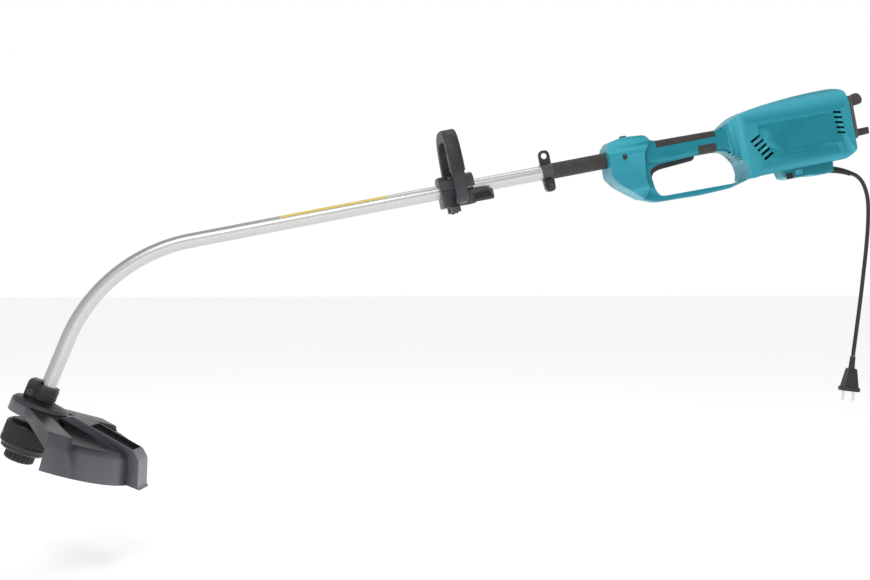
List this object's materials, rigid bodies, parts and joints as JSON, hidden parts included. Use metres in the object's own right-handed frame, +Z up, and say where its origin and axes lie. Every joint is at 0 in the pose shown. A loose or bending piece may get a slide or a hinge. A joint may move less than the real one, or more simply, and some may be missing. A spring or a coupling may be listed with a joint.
{
  "type": "string trimmer",
  "caption": "Corded garden string trimmer: rear motor housing with closed hand grip, curved aluminium shaft, loop handle, and a fan-shaped guard over a tap-feed line head.",
  "frame": {"origin": "centre of the shoulder-strap eye, from which the tool hangs in use", "axes": "+X towards the motor end, +Y towards the tool's right-hand side, +Z up, with the tool in its working attitude"},
  "size_m": [1.4688, 0.3298, 0.6649],
  "materials": {
    "aluminium_tube": "satin",
    "teal_plastic": "satin gloss",
    "black_plastic": "satin",
    "dark_cover": "fine grain",
    "soft_grip": "matt",
    "cord_rubber": "satin",
    "steel": "satin",
    "nickel": "satin",
    "copper_windings": "lacquered",
    "white_nylon": "natural",
    "orange_plastic": "natural",
    "carbon": "sintered"
  },
  "bodies": {
    "shaft": {"shaft_tube": "aluminium_tube", "drive_liner": "white_nylon", "flexible_shaft": "steel", "shaft_sleeve": "soft_grip", "strap_hanger": "black_plastic", "hanger_screw": "steel", "housing_left": "teal_plastic", "housing_right": "teal_plastic", "collar_screw": "steel", "upper_grip": "soft_grip", "lower_grip": "soft_grip", "rear_cover": "dark_cover", "trigger_spring": "steel", "field_core": "copper_windings", "motor_bearing_front": "steel", "motor_bearing_rear": "steel", "carbon_brush_left": "carbon", "carbon_brush_right": "carbon", "power_switch": "black_plastic", "cord_guard": "cord_rubber", "power_cord": "cord_rubber", "plug_body": "cord_rubber", "plug_pin_left": "nickel", "plug_pin_right": "nickel", "bearing_case": "black_plastic", "case_bolt": "steel", "guard": "black_plastic", "guard_screw_left": "steel", "guard_screw_right": "steel", "line_cutter": "steel", "spindle_bearing_upper": "steel", "spindle_bearing_lower": "steel", "housing_screw_1": "steel", "housing_screw_2": "steel", "housing_screw_3": "steel", "housing_screw_4": "steel"},
    "rotor": {"armature": "copper_windings", "cooling_fan": "white_nylon", "drive_coupling": "steel"},
    "handle": {"loop_handle": "black_plastic", "loop_grip": "soft_grip", "clamp_cap": "black_plastic", "clamp_bolt_left": "steel", "clamp_bolt_right": "steel", "clamp_nut_left": "black_plastic", "clamp_nut_right": "black_plastic", "lever_pin": "steel"},
    "lever": {"clamp_lever": "black_plastic"},
    "trigger": {"trigger": "black_plastic"},
    "lock_button": {"lock_off_button": "black_plastic"},
    "spool_head": {"spindle": "steel", "drum_case": "black_plastic", "drum_cover": "black_plastic", "line_eyelet_left": "steel", "line_eyelet_right": "steel", "tap_spring": "steel"},
    "tap": {"tap_knob": "black_plastic", "line_spool": "orange_plastic", "nylon_line": "white_nylon"}
  },
  "joints": [
    {"name": "head_spin", "type": "hinge", "parent": "shaft", "child": "spool_head", "pos_m": [-0.84309, 0, -0.46062], "axis": [0.3767, 0, 0.9263], "continuous": true},
    {"name": "rotor_spin", "type": "hinge", "parent": "shaft", "child": "rotor", "pos_m": [0.45059, 0, 0.06199], "axis": [0.9806, 0, 0.1959], "continuous": true},
    {"name": "tap_slide", "type": "slide", "parent": "spool_head", "child": "tap", "axis": [0.3767, 0, 0.9263], "range_m": [0, 0.003], "stiffness_N_per_m": 1500, "springref_m": -0.004, "deforming": ["tap_spring"]},
    {"name": "handle_slide", "type": "slide", "parent": "shaft", "child": "handle", "axis": [0.9806, 0, 0.1959], "range_m": [-0.18, 0.085]},
    {"name": "lever_swing", "type": "hinge", "parent": "handle", "child": "lever", "pos_m": [-0.12749, 0, -0.07136], "axis": [0, 1, 0], "range_deg": [0, 90]},
    {"name": "trigger_pull", "type": "hinge", "parent": "shaft", "child": "trigger", "pos_m": [0.25466, 0, 0.00653], "axis": [0, 1, 0], "range_deg": [0, 5], "stiffness_Nm_per_rad": 2, "springref_deg": -2.86, "deforming": ["trigger_spring"]},
    {"name": "lock_press", "type": "slide", "parent": "shaft", "child": "lock_button", "axis": [0.1959, 0, -0.9806], "range_m": [0, 0.003], "stiffness_N_per_m": 600, "springref_m": -0.003}
  ],
  "couplings": [
    {"joint": "rotor_spin", "follows": "head_spin", "ratio": -1}
  ]
}
